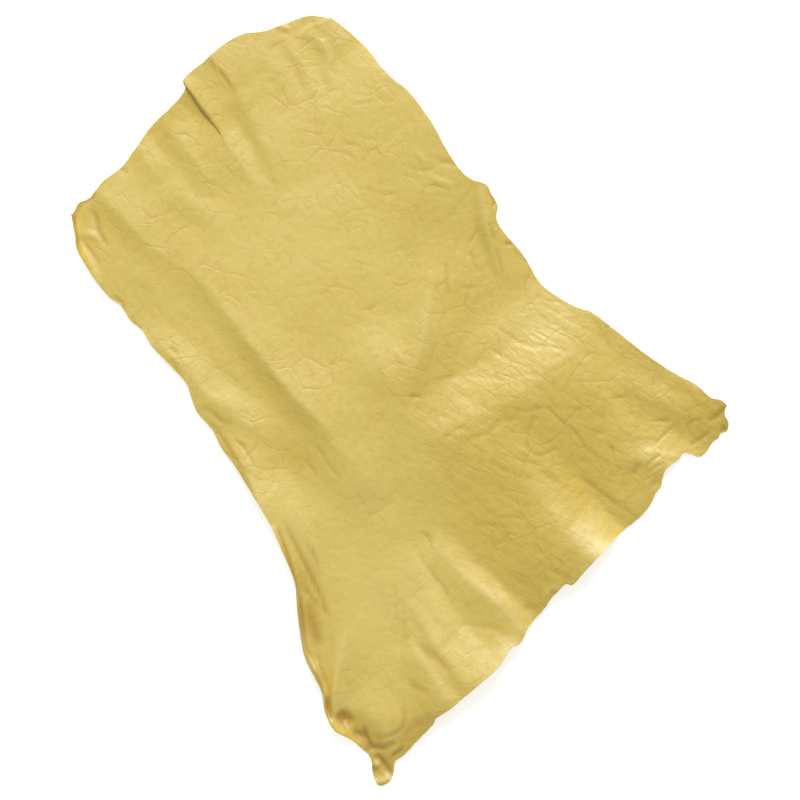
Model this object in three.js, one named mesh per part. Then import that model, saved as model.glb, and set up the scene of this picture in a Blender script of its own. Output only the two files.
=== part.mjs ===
// A chamois leather: one whole oil-tanned skin, cut along its natural outline and laid out flat.
// Units are millimetres. +Z is up, +Y runs along the spine toward the neck, and the origin lies on the
// table under the middle of the skin.
import * as THREE from 'three';

// Driving sizes of the skin
const skinLength = 853;
const skinWidth = 627;
const skinThickness = 1.2;

// Air between two layers where the skin lies over itself, and how deep the lying parts are pressed flat
const layerGap = 1.2;
const pressedDepth = 1.5;

// Soft folds: the tallest crest, the widest slope from crest to foot, and how rounded crest and foot are
const foldHeight = 23;
const foldReach = 170;
const crestRoundness = 1.4;
const footRoundness = 1.3;

// The pleat at the neck edge: how wide it lies over, how far the skin runs back beneath it, how high its
// back swells, and how far down the skin it takes to open out
const pleatWidth = 42;
const pleatTuck = 16;
const pleatCrown = 1.6;
const pleatLength = 120;

// The left flank's edge, where it curls up and over
const curlRadius = 5;
const curlAngle = THREE.MathUtils.degToRad(205);

// The outline, chosen by hand, as shares of the width and length from the middle of the skin
const neckEdgeShares = [
  [-0.321, 0.427], [-0.288, 0.440], [-0.187, 0.446], [-0.089, 0.467], [0.009, 0.482], [0.017, 0.491],
  [0.076, 0.496], [0.119, 0.500], [0.173, 0.492], [0.227, 0.474], [0.272, 0.468], [0.304, 0.455],
  [0.326, 0.437],
];
const rightFlankShares = [
  [0.500, -0.354], [0.497, -0.345], [0.481, -0.327], [0.471, -0.297], [0.444, -0.249], [0.398, -0.146],
  [0.364, -0.090], [0.347, -0.062], [0.352, 0.001], [0.350, 0.051], [0.369, 0.077], [0.374, 0.110],
  [0.353, 0.142], [0.360, 0.250], [0.348, 0.326], [0.344, 0.392], [0.326, 0.437],
];
const rumpEdgeShares = [
  [-0.478, -0.500], [-0.465, -0.497], [-0.447, -0.487], [-0.434, -0.483], [-0.336, -0.471],
  [-0.160, -0.455], [-0.060, -0.438], [-0.002, -0.427], [0.044, -0.425], [0.149, -0.412],
  [0.232, -0.407], [0.304, -0.390], [0.329, -0.377], [0.377, -0.372], [0.400, -0.391], [0.438, -0.390],
  [0.468, -0.383], [0.480, -0.376], [0.493, -0.362], [0.500, -0.354],
];
const leftFlankShares = [
  [-0.478, -0.500], [-0.493, -0.497], [-0.494, -0.490], [-0.486, -0.474], [-0.476, -0.453],
  [-0.481, -0.430], [-0.500, -0.393], [-0.494, -0.362], [-0.470, -0.330], [-0.460, -0.285],
  [-0.433, -0.239], [-0.390, -0.185], [-0.369, -0.125], [-0.355, -0.056], [-0.336, 0.145],
  [-0.350, 0.274], [-0.358, 0.338], [-0.348, 0.383], [-0.321, 0.427],
];

// The soft folds. A crest runs through its places, each with its share of the fold height. The two reaches
// are shares of the widest slope, left and right of someone who walks along the crest.
const foldShares = {
  neckShoulder: {
    crest: [[-0.255, 0.445, 0.16], [-0.234, 0.358, 0.17], [-0.226, 0.322, 0.13], [-0.197, 0.262, 0.18]],
    leftReach: 0.5, rightReach: 0.24,
  },
  shoulder: {
    crest: [
      [-0.189, 0.252, 0.2], [-0.179, 0.117, 0.41], [-0.169, 0.018, 0.42], [-0.163, -0.041, 0.34],
      [-0.158, -0.088, 0.24], [-0.155, -0.140, 0.05],
    ],
    leftReach: 0.5, rightReach: 0.24,
  },
  leftShoulder: {
    crest: [
      [-0.341, 0.240, 0.05], [-0.329, 0.209, 0.22], [-0.319, 0.152, 0.28], [-0.309, 0.106, 0.28],
      [-0.293, 0.064, 0.26], [-0.266, 0, 0.17], [-0.255, -0.047, 0],
    ],
    leftReach: 0.25, rightReach: 0.42,
  },
  flankEdge: {
    crest: [
      [-0.354, 0.006, 0.05], [-0.356, -0.042, 0.5], [-0.359, -0.073, 0.6], [-0.364, -0.108, 0.4],
      [-0.380, -0.152, 0.13],
    ],
    leftReach: 0.28, rightReach: 0.15,
  },
  lowerFlank: {
    crest: [
      [-0.319, -0.082, 0.09], [-0.313, -0.129, 0.15], [-0.359, -0.240, 0.17], [-0.399, -0.287, 0.13],
      [-0.439, -0.307, 0.08],
    ],
    leftReach: 0.32, rightReach: 0.16,
  },
  hindStreak: {
    crest: [[-0.496, -0.387, 0.22], [-0.463, -0.354, 0.26], [-0.435, -0.333, 0.22], [-0.375, -0.293, 0]],
    leftReach: 0.12, rightReach: 0.16,
  },
  hindLeft: {
    crest: [[-0.439, -0.363, 0.13], [-0.383, -0.408, 0.22], [-0.327, -0.428, 0.26], [-0.271, -0.445, 0.26]],
    leftReach: 0.76, rightReach: 0.41,
  },
  tail: {
    crest: [
      [-0.453, -0.492, 0.13], [-0.442, -0.463, 0.26], [-0.437, -0.434, 0.3], [-0.447, -0.404, 0.26],
      [-0.463, -0.377, 0.13],
    ],
    leftReach: 0.15, rightReach: 0.3,
  },
  rumpLeft: {
    crest: [[-0.231, -0.352, 0.04], [-0.234, -0.381, 0.17], [-0.233, -0.413, 0.26], [-0.228, -0.460, 0.3]],
    leftReach: 0.33, rightReach: 0.15,
  },
  rumpRim: {
    crest: [
      [-0.279, -0.469, 0.17], [-0.239, -0.464, 0.48], [-0.191, -0.458, 0.57], [-0.144, -0.453, 0.43],
      [-0.112, -0.447, 0.17],
    ],
    leftReach: 0.38, rightReach: 0.12,
  },
  rumpMiddle: {
    crest: [
      [-0.129, -0.252, 0], [-0.121, -0.287, 0.17], [-0.113, -0.322, 0.28], [-0.104, -0.358, 0.35],
      [-0.085, -0.441, 0.39],
    ],
    leftReach: 0.15, rightReach: 0.24,
  },
  rumpWave: {
    crest: [
      [0.035, -0.182, 0.13], [0.057, -0.223, 0.26], [0.072, -0.264, 0.43], [0.080, -0.305, 0.65],
      [0.083, -0.352, 0.87], [0.088, -0.422, 1],
    ],
    leftReach: 0.31, rightReach: 0.58,
  },
  rumpRimRight: {
    crest: [[0.083, -0.417, 0.09], [0.120, -0.410, 0.3], [0.159, -0.407, 0.3], [0.195, -0.404, 0.09]],
    leftReach: 0.35, rightReach: 0.09,
  },
  rightLeg: {
    crest: [[0.427, -0.264, 0], [0.455, -0.293, 0.17], [0.478, -0.326, 0.3], [0.494, -0.349, 0.22]],
    leftReach: 0.1, rightReach: 0.3,
  },
  waistUpper: {
    crest: [[0.167, 0.068, 0.13], [0.239, 0.094, 0.3], [0.303, 0.116, 0.52], [0.376, 0.122, 0.57]],
    leftReach: 0.7, rightReach: 0.82,
  },
  waistDiagonal: {
    crest: [
      [0.024, -0.054, 0], [0.072, -0.032, 0.26], [0.120, -0.009, 0.43], [0.164, 0.018, 0.48],
      [0.199, 0.041, 0.3], [0.242, 0.056, 0.09], [0.287, 0.068, 0],
    ],
    leftReach: 0.21, rightReach: 0.47,
  },
  waistLeft: {
    crest: [
      [0.032, 0.123, 0], [0.016, 0.091, 0.13], [0.003, 0.053, 0.26], [-0.006, 0.018, 0.39],
      [-0.008, -0.018, 0.35], [-0.003, -0.049, 0.17], [-0.003, -0.076, 0.04],
    ],
    leftReach: 0.41, rightReach: 0.82,
  },
  waistLowerEnd: {
    crest: [[-0.003, -0.056, 0.04], [-0.013, -0.082, 0.17], [-0.018, -0.111, 0.22], [-0.016, -0.138, 0.13]],
    leftReach: 0.26, rightReach: 0.53,
  },
  waistLower: {
    crest: [
      [-0.024, -0.134, 0.13], [0.032, -0.140, 0.39], [0.096, -0.151, 0.57], [0.175, -0.162, 0.61],
      [0.255, -0.163, 0.48], [0.327, -0.157, 0.35], [0.383, -0.156, 0.3],
    ],
    leftReach: 0.34, rightReach: 1,
  },
  waistLowerFar: {
    crest: [
      [0.064, -0.148, 0], [0.128, -0.157, 0.13], [0.175, -0.162, 0.26], [0.255, -0.163, 0.43],
      [0.327, -0.157, 0.52], [0.383, -0.156, 0.39],
    ],
    leftReach: 0.56, rightReach: 0.88,
  },
  rightFlank: {
    crest: [
      [0.354, 0.375, 0], [0.360, 0.317, 0.22], [0.357, 0.234, 0.35], [0.344, 0.164, 0.26],
      [0.359, 0.117, 0.09],
    ],
    leftReach: 0.12, rightReach: 0.65,
  },
  neckMiddle: {
    crest: [
      [-0.134, 0.460, 0.07], [-0.134, 0.422, 0.09], [-0.124, 0.361, 0.13], [-0.108, 0.328, 0.15],
      [-0.096, 0.299, 0.11], [-0.080, 0.264, 0],
    ],
    leftReach: 0.18, rightReach: 0.16,
  },
  neckNearPleat: {
    crest: [[-0.061, 0.471, 0.17], [-0.059, 0.422, 0.17], [-0.057, 0.375, 0.15], [-0.057, 0.328, 0]],
    leftReach: 0.35, rightReach: 0.14,
  },
  pleatLeft: {
    crest: [
      [0.016, 0.436, 0.04], [0.016, 0.399, 0.13], [0.013, 0.352, 0.13], [0.008, 0.311, 0.07],
      [0.006, 0.281, 0],
    ],
    leftReach: 0.15, rightReach: 0.24,
  },
  pleatRun: {
    crest: [
      [0.089, 0.436, 0.13], [0.086, 0.404, 0.2], [0.081, 0.375, 0.2], [0.073, 0.346, 0.17],
      [0.061, 0.311, 0.09], [0.048, 0.281, 0],
    ],
    leftReach: 0.65, rightReach: 0.12,
  },
};

// How far the left flank's edge curls over, as shares of the full curl, by share of the way up the flank
const curlShares = [
  [0.06, 0], [0.17, 0.7], [0.25, 0.9], [0.32, 0.75], [0.46, 0], [0.86, 0], [0.95, 0.5], [1, 0.5],
];

// Where the skin is sampled, as shares of the way up it and across it
const rowShares = [
  0, 0.014, 0.03, 0.05, 0.08, 0.11, 0.14, 0.17, 0.2, 0.24, 0.282, 0.315, 0.35, 0.39, 0.43, 0.47,
  0.515, 0.56, 0.605, 0.65, 0.7, 0.75, 0.8, 0.85, 0.885, 0.91, 0.935, 0.96, 0.98, 1,
];
const columnShares = [0, 0.03, 0.085, 0.16, 0.21, 0.255, 0.33, 0.41, 0.49, 0.58, 0.67, 0.76, 0.85, 0.93, 1];

// The hind end, up to this share of the way, has more samples across it
const hindEndShare = 0.28;
const hindColumnShares = [0.012, 0.055, 0.535, 0.625, 0.89, 0.97];
const pleatShare = 0.515;
const curlSteps = 3;

// The curl's samples come in this first share of each row's order, and the pleat's tuck is open below this
// share of its fold
const curlOrderShare = 0.01;
const pleatOpenShare = 0.3;

function edgeCurve(shares) {
  const places = shares.map(([across, along]) => new THREE.Vector3(across * skinWidth, along * skinLength, 0));
  return new THREE.CatmullRomCurve3(places, false, 'centripetal');
}

const neckEdge = edgeCurve(neckEdgeShares);
const rumpEdge = edgeCurve(rumpEdgeShares);
const leftFlank = edgeCurve(leftFlankShares);
const rightFlank = edgeCurve(rightFlankShares);

// A place on the flat skin, blended between its four edges
function flatPlace(across, along) {
  const corner = (edge, end) => edge.getPointAt(end);
  const place = new THREE.Vector3();
  place.addScaledVector(rumpEdge.getPointAt(across), 1 - along);
  place.addScaledVector(neckEdge.getPointAt(across), along);
  place.addScaledVector(leftFlank.getPointAt(along), 1 - across);
  place.addScaledVector(rightFlank.getPointAt(along), across);
  place.addScaledVector(corner(rumpEdge, 0), -(1 - across) * (1 - along));
  place.addScaledVector(corner(rumpEdge, 1), -across * (1 - along));
  place.addScaledVector(corner(neckEdge, 0), -(1 - across) * along);
  place.addScaledVector(corner(neckEdge, 1), -across * along);
  return place;
}

// A value that runs smoothly through pairs of [place, value]
function valueAt(pairs, place) {
  if (place <= pairs[0][0]) return pairs[0][1];
  for (let i = 1; i < pairs.length; i += 1) {
    const [from, low] = pairs[i - 1];
    const [to, high] = pairs[i];
    if (place <= to) return THREE.MathUtils.lerp(low, high, THREE.MathUtils.smoothstep(place, from, to));
  }
  return pairs[pairs.length - 1][1];
}

// The height of one fold over a place: full on its crest line, and smoothly down to nothing at its foot
function foldLift({ crest, leftReach, rightReach }, place) {
  let nearest = Infinity;
  let lift = 0;
  for (let i = 1; i < crest.length; i += 1) {
    const from = new THREE.Vector2(crest[i - 1][0] * skinWidth, crest[i - 1][1] * skinLength);
    const to = new THREE.Vector2(crest[i][0] * skinWidth, crest[i][1] * skinLength);
    const run = to.clone().sub(from);
    const offset = new THREE.Vector2(place.x, place.y).sub(from);
    const share = THREE.MathUtils.clamp(offset.dot(run) / run.lengthSq(), 0, 1);
    const distance = offset.clone().addScaledVector(run, -share).length();
    if (distance < nearest) {
      nearest = distance;
      const reach = foldReach * (run.cross(offset) > 0 ? leftReach : rightReach);
      const slope = 1 - Math.min(distance / reach, 1) ** crestRoundness;
      lift = foldHeight * THREE.MathUtils.lerp(crest[i - 1][2], crest[i][2], share) * slope ** footRoundness;
    }
  }
  return lift;
}

function foldsLift(place) {
  const sum = Object.values(foldShares).reduce((total, fold) => total + foldLift(fold, place), 0);
  return Math.max(sum - pressedDepth, 0);
}

// The samples of the curled edge, from its free edge to its root: distance in from the outline, height. The
// strip that curls keeps its length, so it opens out flat as the curl dies away.
function curlSamples(amount) {
  const samples = [];
  const turn = curlAngle * amount;
  const radius = curlRadius / amount;
  const outermost = Math.sin(Math.min(turn, Math.PI / 2));
  for (let i = 0; i <= curlSteps; i += 1) {
    const share = 1 - i / curlSteps;
    if (amount > 0) {
      const turned = turn * share;
      samples.push({ inward: radius * (outermost - Math.sin(turned)), lift: radius * (1 - Math.cos(turned)) });
    } else {
      samples.push({ inward: curlRadius * curlAngle * (1 - share), lift: 0 });
    }
  }
  return samples;
}

// How far the pleat is still folded, at a share of the way up the skin
function pleatAmount(along) {
  return 1 - THREE.MathUtils.smoothstep((1 - along) * skinLength / pleatLength, 0, 1);
}

// The samples of the pleat, from left to right. Near the neck edge the skin runs in beneath the pleat, back
// over that layer, and round over the back of the pleat to its foot. Further down the tuck has opened, and
// the pleat is a swell with a steep left side.
function pleatSamples(amount) {
  const layer = skinThickness + layerGap;
  const foot = -pleatWidth / 8;
  const tuck = pleatTuck * amount;
  const back = [
    [pleatWidth / 2, layer * 2 + pleatCrown],
    [pleatWidth - layer, layer * 2],
    [pleatWidth + layer, 0],
  ];
  const tucked = [
    [foot, 0],
    [tuck, 0],
    [tuck + layer / 2, layer / 2],
    [tuck, layer],
    [layer / 2, layer],
    [0, layer * 3 / 2],
    [layer / 2, layer * 2],
  ];
  if (amount > pleatOpenShare) return [...tucked, ...back].map(([offset, lift]) => ({ offset, lift }));
  const left = tucked.map((_, i) => {
    const share = i / (tucked.length - 1);
    return [THREE.MathUtils.lerp(foot, layer / 2, share), layer * 2 * THREE.MathUtils.smoothstep(share, 0, 1)];
  });
  return [...left, ...back].map(([offset, lift]) => ({ offset, lift: lift * amount / pleatOpenShare }));
}

// One row of samples from flank to flank. Each has its order in the skin, its place across the row and its
// own lift. The curl and the pleat take the place of the plain samples that they cover, also in the next row
// past their ends, where they have opened out flat.
function rowSamples(row) {
  const along = rowShares[row];
  const rowWidth = flatPlace(0, along).distanceTo(flatPlace(1, along));
  const near = [rowShares[Math.max(row - 1, 0)], along, rowShares[Math.min(row + 1, rowShares.length - 1)]];
  const samples = [];
  const covered = [];
  if (near.some((place) => valueAt(curlShares, place) > 0)) {
    const curl = curlSamples(valueAt(curlShares, along));
    curl.forEach(({ inward, lift }, i) => {
      samples.push({ order: curlOrderShare * i / curlSteps, across: inward / rowWidth, lift });
    });
    covered.push([-1, (curl[curlSteps].inward + curlRadius) / rowWidth]);
  }
  if (near.some((place) => pleatAmount(place) > 0)) {
    const pleat = pleatSamples(pleatAmount(along));
    const start = pleatShare + pleat[0].offset / rowWidth;
    const end = pleatShare + pleat[pleat.length - 1].offset / rowWidth;
    pleat.forEach(({ offset, lift }, i) => {
      const order = THREE.MathUtils.lerp(start, end, i / (pleat.length - 1));
      samples.push({ order, across: pleatShare + offset / rowWidth, lift });
    });
    covered.push([start, end]);
  }
  for (const share of along < hindEndShare ? [...columnShares, ...hindColumnShares] : columnShares) {
    const free = covered.every(([from, to]) => share <= from || share >= to);
    if (free) samples.push({ order: share, across: share, lift: 0 });
  }
  return samples.sort((a, b) => a.order - b.order);
}

// The middle surface of the skin: rows of places, and the triangles that join each row to the next
function skinRows() {
  const places = [];
  const rows = rowShares.map((along, row) => rowSamples(row).map(({ order, across, lift }) => {
    const place = flatPlace(across, along);
    place.z = skinThickness / 2 + foldsLift(place) + lift;
    places.push(place);
    return { order, index: places.length - 1 };
  }));
  return { places, rows };
}

function stitchRows(lower, upper, triangles) {
  let a = 0;
  let b = 0;
  while (a < lower.length - 1 || b < upper.length - 1) {
    const lowerNext = b === upper.length - 1
      || (a < lower.length - 1 && lower[a + 1].order <= upper[b + 1].order);
    if (lowerNext) {
      triangles.push([lower[a].index, lower[a + 1].index, upper[b].index]);
      a += 1;
    } else {
      triangles.push([lower[a].index, upper[b + 1].index, upper[b].index]);
      b += 1;
    }
  }
}

function surfaceNormals(places, triangles) {
  const normals = places.map(() => new THREE.Vector3());
  for (const [a, b, c] of triangles) {
    const along = places[b].clone().sub(places[a]);
    const face = along.cross(places[c].clone().sub(places[a]));
    for (const index of [a, b, c]) normals[index].add(face);
  }
  return normals.map((normal) => normal.normalize());
}

// The free edge of the skin, once round, anticlockwise from above
function rimIndices(rows) {
  const rim = rows[0].map(({ index }) => index);
  const last = rows.length - 1;
  for (let i = 1; i < last; i += 1) rim.push(rows[i][rows[i].length - 1].index);
  rim.push(...rows[last].map(({ index }) => index).reverse());
  for (let i = last - 1; i > 0; i -= 1) rim.push(rows[i][0].index);
  return rim;
}

// The closed skin: its middle surface thickened to both sides, with its cut edge all round
function chamoisSkin() {
  const { places, rows } = skinRows();
  const triangles = [];
  for (let i = 1; i < rows.length; i += 1) stitchRows(rows[i - 1], rows[i], triangles);
  const normals = surfaceNormals(places, triangles);
  const position = [];
  for (const side of [1, -1]) {
    places.forEach((place, i) => {
      position.push(...place.clone().addScaledVector(normals[i], side * skinThickness / 2).toArray());
    });
  }
  const under = places.length;
  const faces = [];
  for (const [a, b, c] of triangles) {
    faces.push(a, b, c);
    faces.push(under + a, under + c, under + b);
  }
  const rim = rimIndices(rows);
  rim.forEach((a, i) => {
    const b = rim[(i + 1) % rim.length];
    faces.push(under + a, under + b, b);
    faces.push(under + a, b, a);
  });
  const geometry = new THREE.BufferGeometry();
  geometry.setAttribute('position', new THREE.Float32BufferAttribute(position, 3));
  geometry.setIndex(faces);
  geometry.computeVertexNormals();
  geometry.computeBoundingBox();
  const { min, max } = geometry.boundingBox;
  geometry.translate(-(min.x + max.x) / 2, -(min.y + max.y) / 2, -min.z);
  return geometry;
}

const chamoisMaterial = new THREE.MeshStandardMaterial({ color: '#d6be69', roughness: 0.92, metalness: 0 });
const skin = new THREE.Mesh(chamoisSkin(), chamoisMaterial);
skin.name = 'chamois_skin';

const chamoisLeather = new THREE.Group();
chamoisLeather.name = 'chamois_leather';
chamoisLeather.add(skin);

export default chamoisLeather;
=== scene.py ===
# %% [markdown]
# # A chamois leather, laid out flat
# The object is one whole chamois skin, lying on a table in soft folds. This lesson models it as one
# sheet: its outline comes first, then the folds, the creases and the fine wrinkles as heights above
# the table, then its two faces and its cut edge, and last the finish of the leather. All of it
# stands in the frame of the CAD model: metres, +Y along the spine to the neck, +Z up, the table at
# zero. The shape is worked out in millimetres, and becomes metres where the mesh is made.

# %% Frame of the CAD model
import math
import bpy
import numpy as np
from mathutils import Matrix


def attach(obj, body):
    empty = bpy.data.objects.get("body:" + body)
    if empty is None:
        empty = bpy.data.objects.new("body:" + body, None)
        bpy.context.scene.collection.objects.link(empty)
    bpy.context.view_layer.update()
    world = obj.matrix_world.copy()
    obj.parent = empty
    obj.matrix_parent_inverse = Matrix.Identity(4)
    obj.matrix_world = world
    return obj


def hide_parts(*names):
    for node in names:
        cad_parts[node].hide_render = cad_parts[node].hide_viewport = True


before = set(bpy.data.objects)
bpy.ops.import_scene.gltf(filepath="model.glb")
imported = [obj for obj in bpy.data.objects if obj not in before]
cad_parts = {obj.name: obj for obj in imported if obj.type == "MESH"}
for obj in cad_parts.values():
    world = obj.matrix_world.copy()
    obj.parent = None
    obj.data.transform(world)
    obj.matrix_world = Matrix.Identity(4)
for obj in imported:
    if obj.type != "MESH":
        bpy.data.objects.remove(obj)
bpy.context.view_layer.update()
MM = 0.001

# %% [markdown]
# ## Camera
# The photograph looks straight down on the skin from far away, and the skin lies askew in it. An
# orthographic camera could do that too, but the photograph was taken through a lens. A long one
# hardly shows any perspective, so one pixel is the same length all over the table. That length, the
# turn and the middle also turn a place in the photograph into a place on the table, which the
# outline needs.

# %% Camera above the table
PIXEL = 1.238  # millimetres on the table
FRAME_PIXELS = 800
ASKEW = math.radians(36.3)
MIDDLE = (-7.5, -56.5)  # where the middle of the photograph is on the table
LENS = 85.0
FAR_CLIP = 3  # camera heights


def on_table(places):
    """Places in the photograph, in pixels, as places on the table, in millimetres."""
    right, down = (np.array(places, float) - FRAME_PIXELS / 2).T * PIXEL
    return np.stack([
        MIDDLE[0] + right * math.cos(ASKEW) - down * math.sin(ASKEW),
        MIDDLE[1] - right * math.sin(ASKEW) - down * math.cos(ASKEW),
    ], axis=1)


def add_object(name, data):
    made = bpy.data.objects.new(name, data)
    bpy.context.scene.collection.objects.link(made)
    return made


camera = add_object("camera", bpy.data.cameras.new("camera"))
bpy.context.scene.camera = camera
camera.data.lens = LENS
height = FRAME_PIXELS * PIXEL * MM * LENS / camera.data.sensor_width
camera.location = (MIDDLE[0] * MM, MIDDLE[1] * MM, height)
camera.rotation_euler = (0, 0, -ASKEW)
camera.data.clip_end = height * FAR_CLIP
print("camera height", round(height, 3))

# %% [markdown]
# ## Outline of the skin
# A chamois skin keeps the animal's outline: a neck edge, two flanks, the rump and the two hind
# legs. One closed curve could hold it, but a sheet of rows and columns is filled in between four
# edges, so there are four curves, through points read from the photograph. Curves that pass through
# their points, with steps that follow the distance between them, don't overshoot at the small nicks
# of the cut.

# %% Points on the four edges
NECK = [
    (73, 215), (79, 203), (90, 198), (103, 182), (121, 168), (137, 147), (151, 127), (170, 109),
    (186, 90), (184, 82), (206, 62), (221, 49), (231, 42), (246, 35), (263, 33), (277, 28), (288, 24),
    (308, 17), (332, 19),
]
RIGHT_FLANK = [
    (725, 405), (719, 400), (710, 398), (695, 385), (675, 374), (646, 355), (614, 330), (590, 312),
    (577, 308), (562, 300), (541, 284), (523, 255), (500, 228), (496, 219), (497, 206), (491, 195),
    (486, 186), (470, 180), (459, 170), (444, 147), (429, 120), (405, 89), (398, 84), (384, 71),
    (368, 50), (350, 33), (332, 19),
]
RUMP = [
    (382, 785), (389, 781), (392, 776), (394, 770), (395, 761), (404, 754), (414, 743), (433, 722),
    (436, 716), (450, 706), (471, 688), (480, 680), (496, 666), (512, 645), (519, 642), (528, 626),
    (543, 609), (550, 598), (556, 591), (566, 582), (570, 584), (584, 568), (610, 541), (639, 517),
    (649, 505), (655, 492), (660, 486), (661, 479), (664, 470), (679, 458), (682, 453), (691, 454),
    (699, 457), (706, 452), (713, 441), (718, 438), (719, 434), (726, 431), (727, 422), (723, 414),
    (725, 405),
]
LEFT_FLANK = [
    (382, 785), (378, 784), (374, 777), (372, 767), (371, 758), (367, 753), (351, 738), (334, 726),
    (325, 708), (323, 692), (317, 679), (305, 655), (301, 636), (298, 613), (297, 597), (295, 580),
    (279, 540), (267, 517), (249, 487), (235, 465), (222, 448), (212, 429), (199, 414), (193, 401),
    (187, 384), (170, 365), (152, 346), (142, 330), (131, 321), (120, 305), (111, 299), (97, 282),
    (86, 263), (79, 250), (77, 236), (73, 215),
]
print("points", [len(points) for points in (NECK, RIGHT_FLANK, RUMP, LEFT_FLANK)])

# %% Curve through points
SHORTEST_GAP = 0.01  # so that every piece takes some time


def curve_through(points, step):
    """A smooth curve through points; the time for each piece is the root of its length."""
    points = np.array(points, float)
    ends = np.vstack([2 * points[0] - points[1], points, 2 * points[-1] - points[-2]])
    gaps = np.maximum(np.linalg.norm(np.diff(ends[:, :2], axis=0), axis=1), SHORTEST_GAP)
    clock = np.concatenate([[0], np.cumsum(np.sqrt(gaps))])
    places = []
    for i in range(1, len(ends) - 2):
        count = max(1, round(gaps[i] / step))
        time = np.linspace(clock[i], clock[i + 1], count, endpoint=False)[:, None]
        before, start, end, after = clock[i - 1:i + 3]

        def between(a, b, from_time, to_time):
            return a + (b - a) * (time - from_time) / (to_time - from_time)

        first = between(ends[i - 1], ends[i], before, start)
        second = between(ends[i], ends[i + 1], start, end)
        third = between(ends[i + 1], ends[i + 2], end, after)
        early = between(first, second, before, end)
        late = between(second, third, start, after)
        places.append(between(early, late, start, end))
    places.append(points[-1:])
    return np.vstack(places)


def length_along(line):
    """How far along the line each of its points is."""
    return np.concatenate([[0], np.cumsum(np.linalg.norm(np.diff(line, axis=0), axis=1))])


def read_off(line, marks, wanted):
    """Places on the line, whose points carry rising marks, at the wanted marks."""
    return np.stack([np.interp(wanted, marks, line[:, k]) for k in (0, 1)], axis=-1)


print("points on a line of 10 mm", len(curve_through([(0, 0), (10, 0)], 1.0)))

# %% Smooth noise
NOISE_CELLS = 256  # after this many cells the hills repeat
NOISE_GAIN = 1.5


def noise(x, y, size, seed):
    """Smooth random hills, about `size` millimetres apart, from about -1 to 1."""
    angles = np.random.default_rng(seed).uniform(0, 2 * np.pi, (NOISE_CELLS, NOISE_CELLS))
    u, v = np.asarray(x) / size, np.asarray(y) / size
    i, j = np.floor(u).astype(int), np.floor(v).astype(int)
    s, t = u - i, v - j

    def slope(di, dj):
        angle = angles[(i + di) % NOISE_CELLS, (j + dj) % NOISE_CELLS]
        return np.cos(angle) * (s - di) + np.sin(angle) * (t - dj)

    ease_s, ease_t = (k ** 3 * (k * (k * 6 - 15) + 10) for k in (s, t))
    near = slope(0, 0) + (slope(1, 0) - slope(0, 0)) * ease_s
    far = slope(0, 1) + (slope(1, 1) - slope(0, 1)) * ease_s
    return (near + (far - near) * ease_t) * NOISE_GAIN


print("noise at every half cell", np.round(noise(np.arange(0, 30, 5), 0, 10, 1), 2))

# %% Four edges, each with its calm line
EDGE_STEP = 1.0
RAGGED = 0.45  # how far the knife wandered from a smooth line
RAGGED_SIZE = 6.5
RAGGED_SEED = 5
RAGGED_ONSET = 40  # how soon the wander begins past a corner, where two edges have to meet
CALM_REACH = 20  # nicks shorter than about this fade out inside the skin


def calmed(line, reach):
    """The line with its nicks evened out, from the same start to the same end."""
    straight = line[0] + (line[-1] - line[0]) * np.linspace(0, 1, len(line))[:, None]
    off = np.pad(line - straight, ((reach, reach), (0, 0)), mode="reflect", reflect_type="odd")
    weights = np.hanning(2 * reach + 3)[1:-1]
    even = [np.convolve(off[:, k], weights / weights.sum(), "valid") for k in (0, 1)]
    return straight + np.stack(even, axis=1)


def edge(pixels):
    """One edge: shares of its length, its ragged places, and its calm line."""
    line = curve_through(on_table(pixels), EDGE_STEP)
    run = length_along(line)
    along = np.gradient(line, axis=0)
    across = np.stack([-along[:, 1], along[:, 0]], axis=1) / np.linalg.norm(along, axis=1)[:, None]
    share = run / run[-1]
    onset = np.minimum(1, RAGGED_ONSET * share * (1 - share))
    wander = noise(line[:, 0], line[:, 1], RAGGED_SIZE, RAGGED_SEED) * RAGGED * onset
    line = line + across * wander[:, None]
    return share, line, calmed(line, CALM_REACH)


edges = {
    "neck": edge(NECK),
    "right": edge(RIGHT_FLANK),
    "rump": edge(RUMP),
    "left": edge(LEFT_FLANK),
}
print({name: len(line) for name, (share, line, calm) in edges.items()})

# %% [markdown]
# ## Rows and columns
# The skin is one sheet with no seam. Its outline could be filled with triangles, but a patch
# between its four edges gives clean, even faces: rows run from flank to flank, columns from the
# rump to the neck, and the rim of the grid is the outline itself. Inside, the patch follows the
# calm lines, and the nicks of the cut fade out over the first rows and columns.

# %% Places in the patch
ROW_COUNT = 350
ROW_SPACING = (0.72, 0.28)  # closer together at the rump, where the folds are
NICK_SHARE = 0.05  # of a row or column, over which the nicks fade out


def edge_place(name, share):
    """Places on an edge's calm line at these shares of its length."""
    shares, line, calm = edges[name]
    return read_off(calm, shares, share)


def nick(name, share, inward):
    """How far the cut is from its calm line, fading out inward over the first rows or columns."""
    shares, line, calm = edges[name]
    off = read_off(line - calm, shares, share)
    return off * np.clip(1 - inward / NICK_SHARE, 0, 1)[..., None] ** 2


def flat_place(across, along):
    """The place on the table, a share across from the left flank and a share along from the rump."""
    across, along = np.broadcast_arrays(across, along)
    a, b = across[..., None], along[..., None]
    corner = {(side, end): edge_place(side, end) for side in ("left", "right") for end in (0, 1)}
    nicks = (nick("rump", across, along) + nick("neck", across, 1 - along)
             + nick("left", along, across) + nick("right", along, 1 - across))
    return nicks + (
        (1 - b) * edge_place("rump", across) + b * edge_place("neck", across)
        + (1 - a) * edge_place("left", along) + a * edge_place("right", along)
        - (1 - b) * ((1 - a) * corner["left", 0] + a * corner["right", 0])
        - b * ((1 - a) * corner["left", 1] + a * corner["right", 1])
    )


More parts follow.
